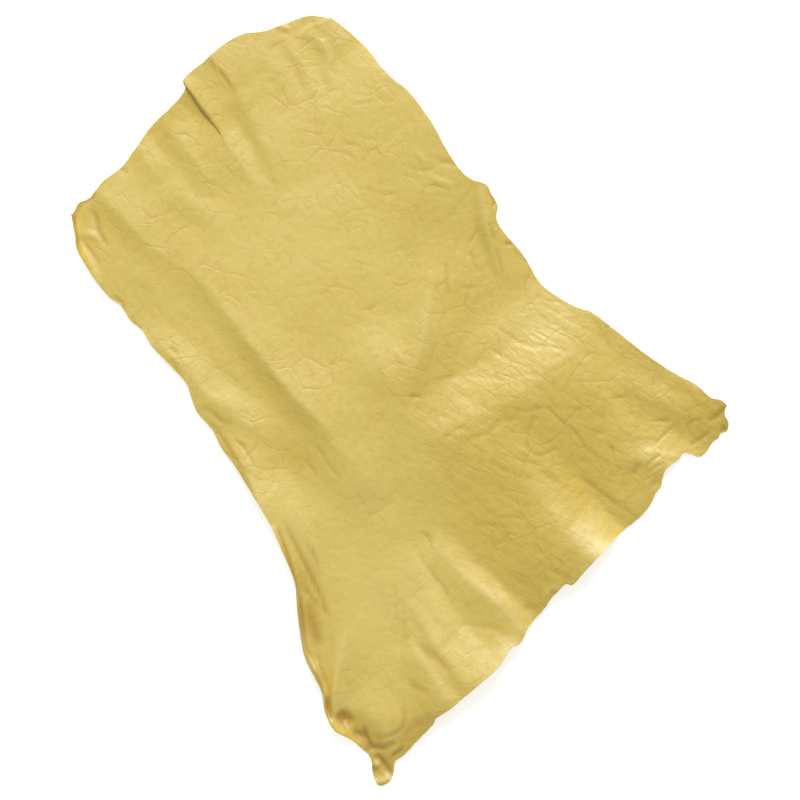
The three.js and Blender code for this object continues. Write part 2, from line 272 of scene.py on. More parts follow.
share = np.linspace(0, 1, ROW_COUNT)
rows = share * (ROW_SPACING[0] + ROW_SPACING[1] * share)
row_width = np.linalg.norm(flat_place(1.0, rows) - flat_place(0.0, rows), axis=1)
print("rows", len(rows), "neck width", round(row_width[-1]), "rump width", round(row_width[0]))

# %% [markdown]
# ## Pleat and curl
# At the neck edge the skin lies over itself in a pleat: it runs in beneath, turns back and comes
# out over its own soft edge. The edge of the left flank curls up. A height can't make these,
# because the sheet is there more than once above the same place. A simulation could, but hardly in
# these very places, so two bands of columns are kept for them. In each row such a band follows a
# way, which says how far across and how high its columns are, by an amount that changes along the
# spine.

# %% The pleat's way across a row
PLEAT_COLUMNS = 26
PLEAT_BAND = (-8.0, 42.0)  # from its foot to its back, from the pleat's edge
PLEAT_FADE = [(0.86, 0.0), (0.905, 0.45), (0.95, 0.95), (1.0, 1.0)]
LAYER = 1.5  # from one layer of the pleat to the next
TUCK = 16.0  # how far the skin runs in beneath the pleat
PLEAT_EDGE_HEIGHT = LAYER * 1.6
PLEAT_WAY = [
    (PLEAT_BAND[0], 0.0), (TUCK * 0.5, 0.0), (TUCK, 0.0), (TUCK + LAYER * 0.6, LAYER * 0.5),
    (TUCK, LAYER), (TUCK * 0.5, LAYER), (LAYER * 0.6, LAYER), (0.0, PLEAT_EDGE_HEIGHT),
    (LAYER * 0.7, LAYER * 2.2), (LAYER * 3, LAYER * 2.4), (PLEAT_BAND[1] * 0.5, LAYER * 2.2),
    (PLEAT_BAND[1], LAYER * 1.9),
]
WAY_STEP = 1.0
EDGE_READY = 0.28  # from this amount on, the column of the edge lies where the pleat's edge will be
OVER_SPEED, OVER_DELAY = 1.8, 0.5  # how fast and how late it folds over, as the amount grows
BACK_RISE = 1.5  # how the skin rises to the pleat's back where it isn't folded over


def value_at(pairs, share):
    """The value at a share, from pairs of a share and a value."""
    places, values = zip(*pairs)
    return np.interp(share, places, values)


def pleat_way(amount):
    """Offsets from the pleat's edge, and lifts, of the columns from its foot to its back."""
    way = curve_through(PLEAT_WAY, WAY_STEP)
    run = length_along(way)
    even = np.linspace(0, 1, PLEAT_COLUMNS)
    folded = read_off(way, run, even * run[-1])
    edge_at = run[np.argmin(np.hypot(way[:, 0], way[:, 1] - PLEAT_EDGE_HEIGHT))] / run[-1]
    plain_at = -PLEAT_BAND[0] / (PLEAT_BAND[1] - PLEAT_BAND[0])
    ready_at = plain_at + (edge_at - plain_at) * np.clip(amount / EDGE_READY, 0, 1)
    flat_x = np.interp(even, [0, ready_at, 1], [PLEAT_BAND[0], 0, PLEAT_BAND[1]])
    flat = np.stack([flat_x, folded[-1, 1] * even ** BACK_RISE], axis=1)
    over = np.clip(amount * OVER_SPEED - OVER_DELAY, 0, 1)
    return (flat * (1 - over) + folded * over) if amount > 0 else flat * [1, 0]


print("pleat, highest", round(pleat_way(1.0)[:, 1].max(), 1), "mm")

# %% The curl's way across a row
CURL_COLUMNS = 12
CURL_STRIP = 22.0  # width of the strip that curls
CURL_RADIUS = 4.5
CURL_ANGLE = math.radians(215)  # where the amount is 1
CURL_FADE = [
    (0.06, 0), (0.13, 0.55), (0.2, 0.8), (0.3, 0.8), (0.36, 0.55), (0.44, 0),
    (0.88, 0), (0.95, 0.45), (1, 0.5),
]


def curl_way(amount):
    """How far in from the outline, and how high, the columns are, from the free edge."""
    run = np.linspace(0, CURL_STRIP, CURL_COLUMNS)[::-1]
    if amount <= 0:
        return np.stack([CURL_STRIP - run, run * 0], axis=1)
    radius = CURL_RADIUS / amount
    flat = CURL_STRIP - radius * CURL_ANGLE * amount
    turn = np.maximum(run - flat, 0) / radius
    inward = CURL_STRIP - np.minimum(run, flat) - radius * np.sin(turn)
    return np.stack([inward - inward.min(), radius * (1 - np.cos(turn))], axis=1)


print("curl, highest", round(max(curl_way(amount)[:, 1].max() for _, amount in CURL_FADE), 1), "mm")

# %% Rows laid out
COLUMN_COUNT = 214  # before the two bands take the place of some
PLEAT_SHARE = 0.519  # of a row, to the pleat's edge
PLEAT_LEAN = [(0.9, 0.0), (1.0, 4.5)]  # how far the pleat's edge leans to the left flank
PLEAT_LEANING = [(0, 0), (0.14, 1), (0.6, 1), (1, 0)]  # which columns lean, foot to back
PLEAT_RISE = 1.6  # how soon the pleat has its full height
BEHIND_SHARE = 0.3  # of a row, in which the skin comes down behind the pleat
BEHIND_FALL = 1.5
BAND_ROOM = 0.002  # left free on both sides of the pleat's band
STRIP_ROOM = 1.05  # widths of the curl's strip that it keeps free
CURL_ZONE_SHARE = 0.12  # of a row, in which the columns are spread to make room for the curl

plain = np.linspace(0, 1, COLUMN_COUNT)
neck_width = row_width[-1]
band = [PLEAT_SHARE + end / neck_width for end in PLEAT_BAND]
strip = CURL_STRIP / neck_width
left_columns = plain[(plain > strip * STRIP_ROOM) & (plain < band[0] - BAND_ROOM)]
right_columns = plain[plain > band[1] + BAND_ROOM]
leaning = value_at(PLEAT_LEANING, np.linspace(0, 1, PLEAT_COLUMNS))
column_total = CURL_COLUMNS + len(left_columns) + PLEAT_COLUMNS + len(right_columns)
across = np.zeros((ROW_COUNT, column_total))
lift = np.zeros(across.shape)
for j, along in enumerate(rows):
    curl = curl_way(value_at(CURL_FADE, along))
    pleat_amount = value_at(PLEAT_FADE, along)
    pleat = pleat_way(pleat_amount)
    inside = curl[-1, 0] / row_width[j]
    near = np.minimum((left_columns - strip) / (CURL_ZONE_SHARE - strip), 1)
    spread = inside + (CURL_ZONE_SHARE - inside) * near
    moved = np.where(left_columns < CURL_ZONE_SHARE, spread, left_columns)
    lean = value_at(PLEAT_LEAN, along) * leaning
    middle = PLEAT_SHARE + (pleat[:, 0] - lean) / neck_width
    across[j] = np.concatenate([curl[:, 0] / row_width[j], moved, middle, right_columns])
    falling = np.clip(1 - (right_columns - band[1]) / BEHIND_SHARE, 0, 1) ** BEHIND_FALL
    behind = falling * pleat[-1, 1]
    rise = min(1, pleat_amount * PLEAT_RISE)
    lift[j] = np.concatenate([curl[:, 1], left_columns * 0, pleat[:, 1] * rise, behind * rise])
flat = flat_place(across, rows[:, None])
X, Y = flat[..., 0], flat[..., 1]
print("grid", across.shape)

# %% [markdown]
# ## Folds
# The skin lies loosely, so it stands up in long soft folds between the places that touch the table.
# A cloth simulation makes folds too, but not these ones, so each is drawn: a crest line with a
# height at its points and a reach on each side. The height falls off from the crest in a rounded way,
# and where the reach is short the fold is steep, as where the leather slumps over. The heights of all
# the folds are added up.

# %% Crest lines
# name: points (x, y, height), reach left and right of someone walking along them, roundness, foot
FOLDS = {
    "shoulder": ([(-160, 380, 3), (-152, 345, 4), (-147, 305, 3.5), (-142, 275, 2.5),
        (-129, 245, 2), (-119, 205, 3), (-117, 150, 4.6), (-115, 100, 5.9), (-113, 55, 6.2),
        (-109, 15, 4.8), (-103, -20, 2.5), (-100, -45, 0)], 72, 29, 1.05, 1.7),
    "shoulder lower": ([(-110, 70, 0), (-105, 20, 4), (-103, -35, 7), (-102, -70, 7.2),
        (-101, -100, 6), (-99, -128, 3), (-98, -152, 0)], 75, 66, 1.3, 1.6),
    "left shoulder": ([(-222, 215, 1), (-217, 190, 2.5), (-204, 160, 3.8), (-198, 125, 4.9),
        (-196, 90, 5.8), (-184, 55, 5.7), (-175, 25, 4.5), (-167, 0, 2.5), (-158, -30, 0)],
        32, 70, 1.3, 1.5),
    "flank edge": ([(-206, 42, 0), (-209, 18, 4), (-212, -6, 9.5), (-216, -28, 12.5),
        (-222, -50, 14.8), (-230, -76, 15.5), (-238, -104, 13), (-247, -138, 7), (-256, -165, 0)],
        54, 25, 1.2, 1.5),
    "lower flank": ([(-200, -70, 2), (-196, -110, 3.5), (-205, -160, 3.5), (-225, -205, 4),
        (-250, -245, 3), (-275, -262, 2)], 55, 28, 1.6, 1.7),
    "streak": ([(-311, -330, 7), (-290, -302, 8), (-273, -284, 6.5), (-255, -268, 4),
        (-225, -242, 0)], 14, 38, 1.0, 1.7),
    "leg edge": ([(-290, -243, 0), (-296, -266, 5), (-301, -292, 4)], 22, 10, 1.2, 1.7),
    "tail": ([(-280, -420, 3), (-271, -395, 6), (-266, -370, 5.5), (-269, -345, 4),
        (-281, -322, 2)], 30, 40, 1.3, 1.5),
    "tail end": ([(-318, -416, 2), (-306, -424, 4.5), (-290, -428, 3)], 9, 9, 1.2, 1.4),
    "leg tip": ([(276, -222, 0), (297, -250, 7), (312, -278, 14), (320, -298, 14)],
        12, 66, 1.3, 1.5),
    "hind left": ([(-275, -330, 3), (-240, -372, 8), (-205, -392, 12), (-165, -402, 13),
        (-120, -396, 6)], 185, 60, 1.3, 1.3),
    "rump far left": ([(-176, -300, 0), (-177, -322, 3.5), (-175, -342, 5.5), (-178, -362, 4.5),
        (-181, -385, 3.5)], 20, 34, 1.4, 1.6),
    "rump left": ([(-142, -262, 0), (-147, -298, 4.5), (-152, -330, 8.5), (-151, -357, 6),
        (-148, -392, 2.5)], 54, 18, 1.3, 1.35),
    "rump left lower": ([(-146, -312, 0), (-138, -342, 1.2), (-128, -368, 2.4), (-120, -396, 3)],
        48, 42, 1.3, 1.4),
    "rump rim": ([(-225, -412, 3), (-190, -410, 8), (-150, -408, 11.5), (-120, -404, 13),
        (-90, -399, 13), (-66, -394, 5.5), (-46, -388, 0.5)], 74, 20, 1.3, 1.3),
    "rump lip": ([(-152, -404, 0), (-126, -402, 7), (-96, -397, 8.5), (-74, -391, 4.5),
        (-60, -388, 0)], 32, 12, 1.1, 1.4),
    "rump lip right": ([(64, -375, 0), (82, -371, 4), (100, -367, 4), (116, -361, 0)],
        34, 12, 1.1, 1.4),
    "rump left upper": ([(-106, -205, 0), (-117, -240, 3), (-122, -270, 4), (-125, -305, 4),
        (-122, -330, 1)], 18, 60, 1.3, 1.3),
    "rump middle": ([(-79, -215, 0), (-76, -245, 3.8), (-74, -275, 5.5), (-66, -305, 7),
        (-58, -335, 8.5), (-52, -376, 10)], 22, 50, 1.3, 1.4),
    "rump wave": ([(26, -155, 2.5), (43, -190, 4.5), (54, -225, 8), (58, -260, 13.5),
        (59, -300, 20.3), (61, -360, 23.4)], 56, 106, 1.5, 1.15),
    "rump rim right": ([(30, -378, 1), (57, -376, 5), (85, -372, 13), (106, -367, 10),
        (122, -364, 1)], 68, 15, 1.3, 1.3),
    "rump leg": ([(165, -235, 0), (180, -265, 4), (188, -295, 8), (196, -325, 10.5)],
        55, 76, 1.6, 1.1),
    "rump leg fan": ([(156, -268, 0), (172, -280, 1.5), (188, -292, 2.5), (204, -308, 3),
        (216, -325, 2)], 26, 20, 1.3, 1.5),
    "waist lower": ([(-14, -121, 3), (20, -125, 7), (60, -132, 10.5), (110, -139, 12),
        (160, -138, 8), (205, -132, 3), (240, -134, 0)], 60, 170, 1.45, 1.32),
    "waist lower far": ([(60, -130, 0), (85, -135, 2), (115, -138, 5.5), (160, -139, 9.5),
        (205, -136, 9), (240, -140, 6.5)], 100, 150, 1.8, 1.15),
    "waist lower end": ([(-2, -48, 1), (-8, -70, 3), (-11, -95, 3.5), (-10, -118, 2)],
        45, 90, 1.2, 1.4),
    "waist diagonal": ([(-6, -66, 0), (16, -49, 3.5), (34, -34, 6.5), (52, -20, 8.5), (67, -5, 8.5),
        (85, 13, 6), (105, 32, 3), (125, 51, 1), (160, 62, 0)], 36, 66, 1.05, 1.4),
    "waist knob": ([(184, -20, 0), (188, 0, 2), (196, 28, 3.6), (205, 54, 4.4), (219, 82, 4),
        (240, 112, 3)], 13, 25, 1.3, 1.4),
    "waist left": ([(14, 62, 0), (10, 48, 0.5), (5, 30, 2), (0, 6, 5), (-4, -17, 6.5), (-2, -42, 5),
        (-2, -70, 2.5), (-2, -100, 0)], 66, 90, 1.2, 1.3),
    "waist middle": ([(96, 60, 0), (112, 45, 1.5), (134, 28, 2), (156, 10, 1), (170, -4, 0)],
        110, 48, 1.4, 1.5),
    "waist upper": ([(105, 58, 2), (150, 80, 3.5), (190, 99, 6.5), (236, 104, 8)],
        120, 140, 1.2, 1.3),
    "right flank": ([(230, 330, 0), (234, 280, 8), (232, 200, 11.5), (225, 140, 8), (232, 100, 2)],
        20, 126, 1.2, 1.4),
    "right edge": ([(238, -95, 1), (252, -120, 1), (262, -160, 1), (274, -200, 1), (295, -245, 0)],
        20, 20, 1.3, 1.7),
    "right band": ([(216, -180, 0), (232, -205, 2), (248, -238, 3), (262, -268, 2), (272, -288, 1)],
        20, 36, 1.4, 1.6),
    "neck left": ([(-38, 402, 3), (-37, 360, 3), (-36, 320, 2.8), (-36, 280, 0)], 60, 24, 1.3, 1.6),
    "neck rim": ([(-40, 402, 0), (-20, 406, 3), (0, 412, 3.5)], 20, 30, 1.4, 1.6),
    "neck left lower": ([(-80, 335, 0), (-78, 308, 1.3), (-70, 280, 1.7), (-62, 255, 1.2),
        (-52, 225, 0)], 30, 26, 1.5, 1.6),
    "neck left upper": ([(-84, 392, 1.5), (-84, 360, 2), (-82, 335, 0)], 22, 24, 1.4, 1.6),
    "pleat left": ([(10, 372, 1), (10, 340, 3), (8, 300, 3), (5, 265, 1.5), (4, 240, 0)],
        26, 40, 1.3, 1.5),
    "pleat run": ([(56, 372, 1), (54, 345, 3.2), (50, 320, 4.2), (44, 295, 3.8), (36, 265, 2),
        (28, 240, 0)], 110, 20, 1.4, 1.5),
    "neck edge": ([(40, 430, 5), (80, 432, 7), (120, 418, 6.5), (160, 404, 4.5), (205, 382, 3)],
        20, 95, 1.05, 1.5),
    "pleat foot": ([(6, 416, 2.2), (8, 385, 2.2), (9, 360, 1.4), (10, 338, 0)], 200, 14, 1.2, 1.3),
    "neck step": ([(51, 432, 1.4), (53, 415, 2), (56, 398, 2.4), (57, 382, 1.8), (57, 362, 0)],
        60, 7, 1.2, 1.3),
    "neck right": ([(111, 390, 0.6), (110, 360, 1), (108, 330, 0.9), (105, 300, 0)],
        24, 14, 1.5, 1.6),
    "neck second": ([(140, 385, 0.8), (140, 355, 1.6), (136, 330, 1.6), (129, 305, 1.1),
        (118, 275, 0)], 16, 13, 1.5, 1.6),
    "neck third": ([(160, 377, 0.6), (172, 370, 1.2), (175, 356, 1.8), (172, 340, 2),
        (161, 324, 1.6), (148, 302, 0)], 14, 11, 1.2, 1.5),
    "neck fourth": ([(188, 374, 0.8), (191, 352, 1.3), (185, 328, 0)], 26, 11, 1.4, 1.6),
}
print("crest lines", len(FOLDS))

# %% Heights of the folds
FOLD_STEP = 6.0
SHORTEST_STEP = 1e-6
NEVER_ZERO = 1e-9  # keeps a division from failing


def nearest(x, y, line):
    """Distance to the line, side of it, from -1, right, to 1, left, and its height there."""
    best = np.full(x.shape, np.inf)
    side, level = np.zeros(x.shape), np.zeros(x.shape)
    for start, end in zip(line[:-1], line[1:]):
        step = end - start
        length = max(math.hypot(step[0], step[1]), SHORTEST_STEP)
        dx, dy = x - start[0], y - start[1]
        share = np.clip((dx * step[0] + dy * step[1]) / length ** 2, 0, 1)
        squared = (dx - share * step[0]) ** 2 + (dy - share * step[1]) ** 2
        near = squared < best
        best = np.where(near, squared, best)
        beside = (step[0] * dy - step[1] * dx) / (length * np.sqrt(squared) + NEVER_ZERO)
        side = np.where(near, beside, side)
        level = np.where(near, start[2] + step[2] * share, level)
    return np.sqrt(best), np.clip(side, -1, 1), level


def heights_by(line, reach, profile):
    """Heights of the grid within reach of the line, from its profile, and 0 beyond."""
    low, high = line[:, :2].min(axis=0) - reach, line[:, :2].max(axis=0) + reach
    inside = (X > low[0]) & (X < high[0]) & (Y > low[1]) & (Y < high[1])
    heights = np.zeros(X.shape)
    heights[inside] = profile(*nearest(X[inside], Y[inside], line))
    return heights


def fold_heights(points, left, right, roundness, foot):
    def profile(distance, side, level):
        reach = right + (left - right) * (0.5 + 0.5 * side)
        return level * (1 - np.clip(distance / reach, 0, 1) ** roundness) ** foot

    return heights_by(curve_through(points, FOLD_STEP), max(left, right), profile)


folds = sum(fold_heights(*fold) for fold in FOLDS.values())
print("folds", len(FOLDS), "highest", round(folds.max(), 1), "mm")

# %% [markdown]
# ## Creases
# Handling leaves sharper marks: short creases across the hind part, hollows beneath the tail, small
# ridges where the leather buckles. A bump in the finish could fake them, but these are large enough
# to show from the side. So each is a narrow groove in the shape, or a ridge where its depth is
# negative, that fades out at both ends.

# %% Grooves and small ridges
# depth, half width, places
CREASES = [
    # left neck corner
    (3, 5, [(-205, 352), (-197, 364), (-186, 371), (-160, 371)]),
    (2, 5, [(-178, 362), (-176, 350), (-183, 335), (-186, 308)]),
    (0.8, 4, [(-208, 342), (-207, 320), (-207, 298)]),
    (-2, 7, [(-222, 340), (-222, 315), (-223, 300)]),
    (-1.5, 6, [(-205, 345), (-195, 335), (-190, 320)]),
    (1.5, 5, [(-219, 258), (-214, 243), (-219, 230)]),
    (1, 5, [(-218, 222), (-213, 200)]),
    (1, 5, [(-118, 385), (-116, 375), (-110, 368)]),
    # left flank
    (1, 5, [(-198, 166), (-196, 150)]),
    (1, 5, [(-206, 152), (-208, 130)]),
    (1, 6, [(-212, 82), (-204, 70), (-201, 55), (-193, 40)]),
    (1, 4, [(-214, 62), (-212, 35), (-214, 10), (-211, -22)]),
    (1, 4, [(-204, 40), (-198, 15), (-200, -20)]),
    (-0.8, 4, [(-206, 36), (-197, 22), (-187, 8)]),
    (0.6, 4, [(-148, -38), (-145, -55), (-146, -75)]),
    (0.6, 4, [(-127, -30), (-124, -48), (-126, -68), (-122, -98)]),
    (-0.5, 3, [(-135, -35), (-136, -58)]),
    (3.2, 5, [(-222, -92), (-229, -118), (-238, -143), (-248, -166), (-260, -190), (-273, -215),
        (-287, -238)]),
    (1.3, 5, [(-211, -90), (-217, -122), (-222, -150), (-228, -182), (-232, -200), (-238, -224)]),
    (0.7, 4, [(-205, -130), (-207, -150), (-210, -165)]),
    (1.2, 4, [(-241, -168), (-240, -195), (-236, -215)]),
    (2.5, 13, [(-246, -190), (-260, -215), (-270, -245)]),
    (1, 4, [(-272, -242), (-283, -268), (-292, -300)]),
    (1, 4, [(-288, -262), (-294, -285), (-300, -300)]),
    (2.5, 5, [(-298, -288), (-306, -305), (-311, -324)]),
    # tail
    (8, 14, [(-304, -334), (-296, -333), (-286, -330)]),
    (5, 8, [(-298, -352), (-291, -366), (-291, -386)]),
    (3, 5, [(-283, -354), (-286, -366), (-291, -372)]),
    (1.3, 6, [(-281, -366), (-270, -379), (-251, -384), (-236, -377), (-229, -360)]),
    (3, 7, [(-303, -384), (-290, -383), (-276, -391), (-260, -392)]),
    (2.5, 5, [(-276, -405), (-256, -406)]),
    (5, 6, [(-290, -390), (-290, -405), (-291, -426)]),
    (2, 6, [(-309, -406), (-300, -409)]),
    (-3, 6, [(-302, -397), (-293, -408)]),
    (-3, 6, [(-313, -332), (-304, -352)]),
    (1.2, 12, [(-266, -398), (-240, -392), (-215, -392), (-204, -398)]),
    (1.2, 8, [(-206, -340), (-200, -354), (-190, -368)]),
    (1.0, 9, [(-166, -312), (-160, -338), (-152, -366)]),
    # rump
    (0.7, 5, [(-101, -218), (-102, -250), (-101, -275), (-104, -302)]),
    (0.8, 4, [(-84, -200), (-80, -215), (-86, -232)]),
    (0.6, 8, [(-108, -322), (-92, -340), (-80, -352), (-70, -375)]),
    (-1.5, 6, [(-46, -290), (-48, -320), (-46, -350), (-42, -372)]),
    (0.5, 7, [(-24, -316), (-16, -335), (-8, -352)]),
    (0.8, 7, [(19, -328), (24, -345), (29, -360)]),
    (0.4, 7, [(14, -304), (30, -312), (46, -308)]),
    (0.8, 7, [(-36, -352), (-20, -366)]),
    (-1.5, 6, [(-14, -364), (0, -354), (16, -357)]),
    (0.7, 3.5, [(38, -176), (42, -195), (52, -212), (62, -225), (72, -233)]),
    (0.7, 3.5, [(27, -222), (33, -240), (41, -260)]),
    (0.9, 4, [(79, -228), (86, -245), (93, -260)]),
    (-0.8, 4, [(84, -222), (93, -238), (100, -252)]),
    (-0.8, 5, [(72, -190), (80, -200), (84, -213), (92, -218)]),
    (0.6, 3.5, [(-24, -239), (-10, -245), (0, -255), (12, -265), (22, -273)]),
    (0.6, 3.5, [(-26, -264), (-12, -271), (2, -270), (14, -276)]),
    (0.6, 3.5, [(4, -245), (18, -255), (31, -267)]),
    (0.6, 3.5, [(22, -252), (28, -264), (34, -269)]),
    (1.0, 5, [(118, -262), (121, -280), (127, -302), (135, -325), (143, -347)]),
    # rump right
    (0.8, 5, [(4, -128), (25, -127), (45, -131)]),
    (0.6, 6, [(18, -144), (45, -150), (60, -153), (75, -150), (92, -158), (106, -148)]),
    (0.8, 4, [(118, -170), (100, -180), (88, -190), (84, -200), (90, -213), (108, -218),
        (120, -221)]),
    (0.9, 4, [(100, -150), (113, -161), (128, -168), (135, -180), (138, -200), (143, -215),
        (143, -236), (148, -258)]),
    (0.7, 3.5, [(148, -183), (162, -195), (178, -205)]),
    (0.7, 3.5, [(203, -209), (215, -216), (226, -223)]),
    (0.6, 4, [(120, -233), (130, -249), (142, -264)]),
    (0.6, 4, [(157, -220), (165, -234), (182, -240)]),
    (0.6, 4, [(166, -243), (168, -258), (160, -276)]),
    (1, 4, [(186, -300), (200, -301), (216, -301)]),
    (0.8, 4, [(184, -308), (200, -309), (212, -313)]),
    (0.9, 4, [(212, -287), (235, -284), (252, -282)]),
    (1.1, 4, [(227, -261), (240, -270), (251, -278)]),
    (1.3, 8, [(168, -306), (172, -300), (180, -296), (185, -286)]),
    (1, 8, [(172, -326), (190, -325), (208, -321)]),
    (-1.2, 5, [(190, -278), (205, -292), (218, -307), (230, -320)]),
    (-0.6, 4, [(196, -262), (212, -272), (228, -288)]),
    # right leg
    (2.4, 6.5, [(283, -303), (298, -304), (314, -300)]),
    (1.5, 5, [(246, -313), (262, -315), (280, -315)]),
    (1.0, 4, [(258, -291), (268, -292), (280, -295)]),
    (0.9, 4, [(261, -288), (258, -300), (262, -310)]),
    (3, 5, [(289, -325), (297, -319)]),
    (1.5, 4, [(296, -246), (299, -264)]),
    # waist
    (0.7, 4, [(138, -46), (146, -65), (154, -88), (168, -108)]),
    (0.7, 4, [(121, -68), (125, -85), (132, -98)]),
    (0.5, 3.5, [(189, -66), (196, -82), (203, -100), (213, -114)]),
    (0.3, 3.5, [(165, -98), (178, -112), (195, -130), (206, -144)]),
    (0.5, 3.5, [(73, -76), (92, -95), (110, -109)]),
    (0.5, 3.5, [(108, -108), (125, -118), (145, -130), (159, -141)]),
    (0.5, 4, [(55, -80), (60, -98), (70, -118)]),
    (0.4, 3.5, [(41, -76), (29, -92), (20, -112), (19, -126)]),
    (0.8, 6, [(2, -60), (12, -66), (22, -74)]),
    (0.8, 6, [(45, -62), (55, -68), (64, -73)]),
    (0.8, 5, [(116, 10), (124, 24), (138, 46)]),
    (0.5, 4, [(129, 22), (140, 8), (160, -6)]),
    (0.8, 4, [(172, 49), (184, 52), (197, 58)]),
    (0.7, 5, [(172, 42), (167, 28), (163, 15)]),
    (0.8, 5, [(199, 24), (192, 6), (187, -10)]),
    (1.8, 4, [(211, 24), (218, 15)]),
    (0.9, 4, [(211, 56), (207, 44), (202, 34)]),
    (2, 4, [(233, 84), (230, 73), (226, 64)]),
    (1, 7, [(201, 152), (211, 146), (220, 134)]),
    (-1, 7, [(184, 146), (192, 130), (202, 116)]),
    (0.5, 3.5, [(167, 177), (175, 162), (186, 153), (202, 147)]),
    (0.4, 3.5, [(99, 191), (112, 180), (125, 165), (139, 149)]),
    (-0.6, 5, [(190, 180), (191, 158)]),
    (0.4, 4, [(-8, 126), (8, 108), (22, 97)]),
    (-0.6, 4, [(8, 68), (14, 58), (22, 50)]),
    (0.5, 4, [(20, 62), (34, 56), (48, 58)]),
    (0.4, 4, [(5, 32), (18, 26), (28, 18)]),
    (-0.5, 4, [(26, -2), (24, -12), (25, -22)]),
    # neck right
    (1.5, 2.8, [(46, 431), (49.5, 421), (53.5, 401), (53.5, 385), (52, 364)]),
    (-1.6, 6, [(144, 410), (149, 399), (155, 391)]),
    (0.5, 3.5, [(114, 385), (128, 387), (142, 384)]),
    (-0.6, 4, [(162, 381), (176, 380), (190, 376), (203, 374)]),
    (0.5, 3, [(160, 275), (172, 266), (186, 260)]),
    (0.5, 3, [(190, 256), (200, 249), (207, 242)]),
    (0.5, 4, [(124, 245), (130, 235), (136, 228)]),
    (0.5, 4, [(20, 265), (26, 252), (34, 245)]),
    (0.4, 4, [(0, 212), (15, 208), (32, 211)]),
]
print("creases", len(CREASES))

# %% Heights of the creases
CREASE_STEP = 3.0
CREASE_SHARE = 0.8  # of the depths above
CREASE_ENDS, CREASE_SIDES = 0.6, 1.5  # how blunt a crease ends, how round it is across


def crease_heights(depth, half_width, places):
    def profile(distance, side, level):
        beside = np.clip(distance / half_width, 0, 1)
        return -level * (1 - beside ** CREASE_SIDES) ** CREASE_SIDES

    line = curve_through([(*place, 0.0) for place in places], CREASE_STEP)
    run = length_along(line)
    fading = np.clip(np.sin(np.pi * run / run[-1]), 0, 1) ** CREASE_ENDS
    line[:, 2] = depth * CREASE_SHARE * fading
    return heights_by(line, half_width, profile)


creases = sum(crease_heights(*crease) for crease in CREASES)
print("creases", len(CREASES), "from", round(creases.min(), 1), "to", round(creases.max(), 1), "mm")

# %% [markdown]
# ## Slack and fine wrinkles
# Between the folds the leather is never quite flat, and a skin that has been washed and wrung has a
# broken net of wrinkles. They are too many to place one by one. Broad noise gives the slack, and
# thin grooves where a noise crosses zero give the net, because such lines wander and branch like
# wrinkles. On the hind right the net is drawn out along one direction. The finish adds the finest
# wrinkles.

# %% A net of wrinkles
BREAK_SIZE = 1.7  # sizes of the net, from one gap in it to the next
BREAK_EDGE, BREAK_LEVEL = 2.5, 0.35  # how sharply the net breaks, and how much of it is left
GROOVE_WIDTH = 2.2


def wrinkle_net(x, y, size, half_width, seed):
    """Grooves of depth 1 along the lines where a noise is zero, broken up by another noise."""
    level = noise(x, y, size, seed)
    broken = np.clip(noise(x, y, size * BREAK_SIZE, seed + 1) * BREAK_EDGE + BREAK_LEVEL, 0, 1)
    return -np.exp(-(level * size / half_width / GROOVE_WIDTH) ** 2) * broken


def turned(x, y, degrees, stretch):
    """Places in a frame that is turned, and stretched along its first direction."""
    angle = math.radians(degrees)
    return (
        (x * math.cos(angle) + y * math.sin(angle)) / stretch,
        y * math.cos(angle) - x * math.sin(angle),
    )


grooved = wrinkle_net(X, Y, size=26, half_width=2.0, seed=21) < -0.5
print("one net has grooves in", round(float(grooved.mean()), 3), "of the skin")

# %% Slack and wrinkles of the skin
SLACK_LEVEL = 0.9
SLACK = [(0.7, 75, 11), (0.3, 34, 12)]  # height, size, seed
FINE = [(0.13, 11, 13), (0.07, 6.5, 14)]
NET = [(0.22, 26, 2.0, 21), (0.13, 15, 1.8, 31)]  # depth, size, half width, seed
HIND_BELOW, HIND_LENGTH = 40, 160  # y where the hind right begins, and how far it fades in
HIND_RIGHT_OF, HIND_WIDTH = -120, 120  # the same for x
HIND_FINE = 0.6  # how much more of the fine waves there
HIND_NET = 0.4  # how much less of the even net there
DRAWN_GROOVES, DRAWN_WAVES = 0.21, 0.13

hind = (np.clip((HIND_BELOW - Y) / HIND_LENGTH, 0, 1)
        * np.clip((X - HIND_RIGHT_OF) / HIND_WIDTH, 0, 1))
slack = sum((level * noise(X, Y, size, seed) for level, size, seed in SLACK), SLACK_LEVEL)
fine = sum(level * noise(X, Y, size, seed) for level, size, seed in FINE)
net = sum(depth * wrinkle_net(X, Y, *kind) for depth, *kind in NET)
grooves = wrinkle_net(*turned(X, Y, degrees=-64, stretch=2.4), size=12, half_width=2.0, seed=41)
waves = noise(*turned(X, Y, degrees=-70, stretch=3.2), size=9, seed=51)
drawn = DRAWN_GROOVES * grooves + DRAWN_WAVES * waves
detail = creases + fine * (1 + HIND_FINE * hind) + net * (1 - HIND_NET * hind) + drawn * hind
print("detail from", round(detail.min(), 1), "to", round(detail.max(), 1), "mm")

# %% [markdown]
# ## The skin as a closed body
# A real skin has a thickness and a cut edge. Solidify could give both, but the two faces differ
# here. The upper one keeps every row and column, for the fine wrinkles. The lower one lies on the
# table and needs fewer, so it keeps one in three, and it stays just beneath the deepest groove
# above it. So the grid is moved out by half the thickness to both sides, and a strip joins the two
# rims.

# %% Levels above the table
KEEP = 3  # the lower face keeps one row and one column in so many
FOLD_SMOOTHING = 3
TABLE_SOFTNESS = 0.8  # how gently the skin meets the table
GROOVE_ROOM = 0.2  # from the lower face to the deepest groove above it


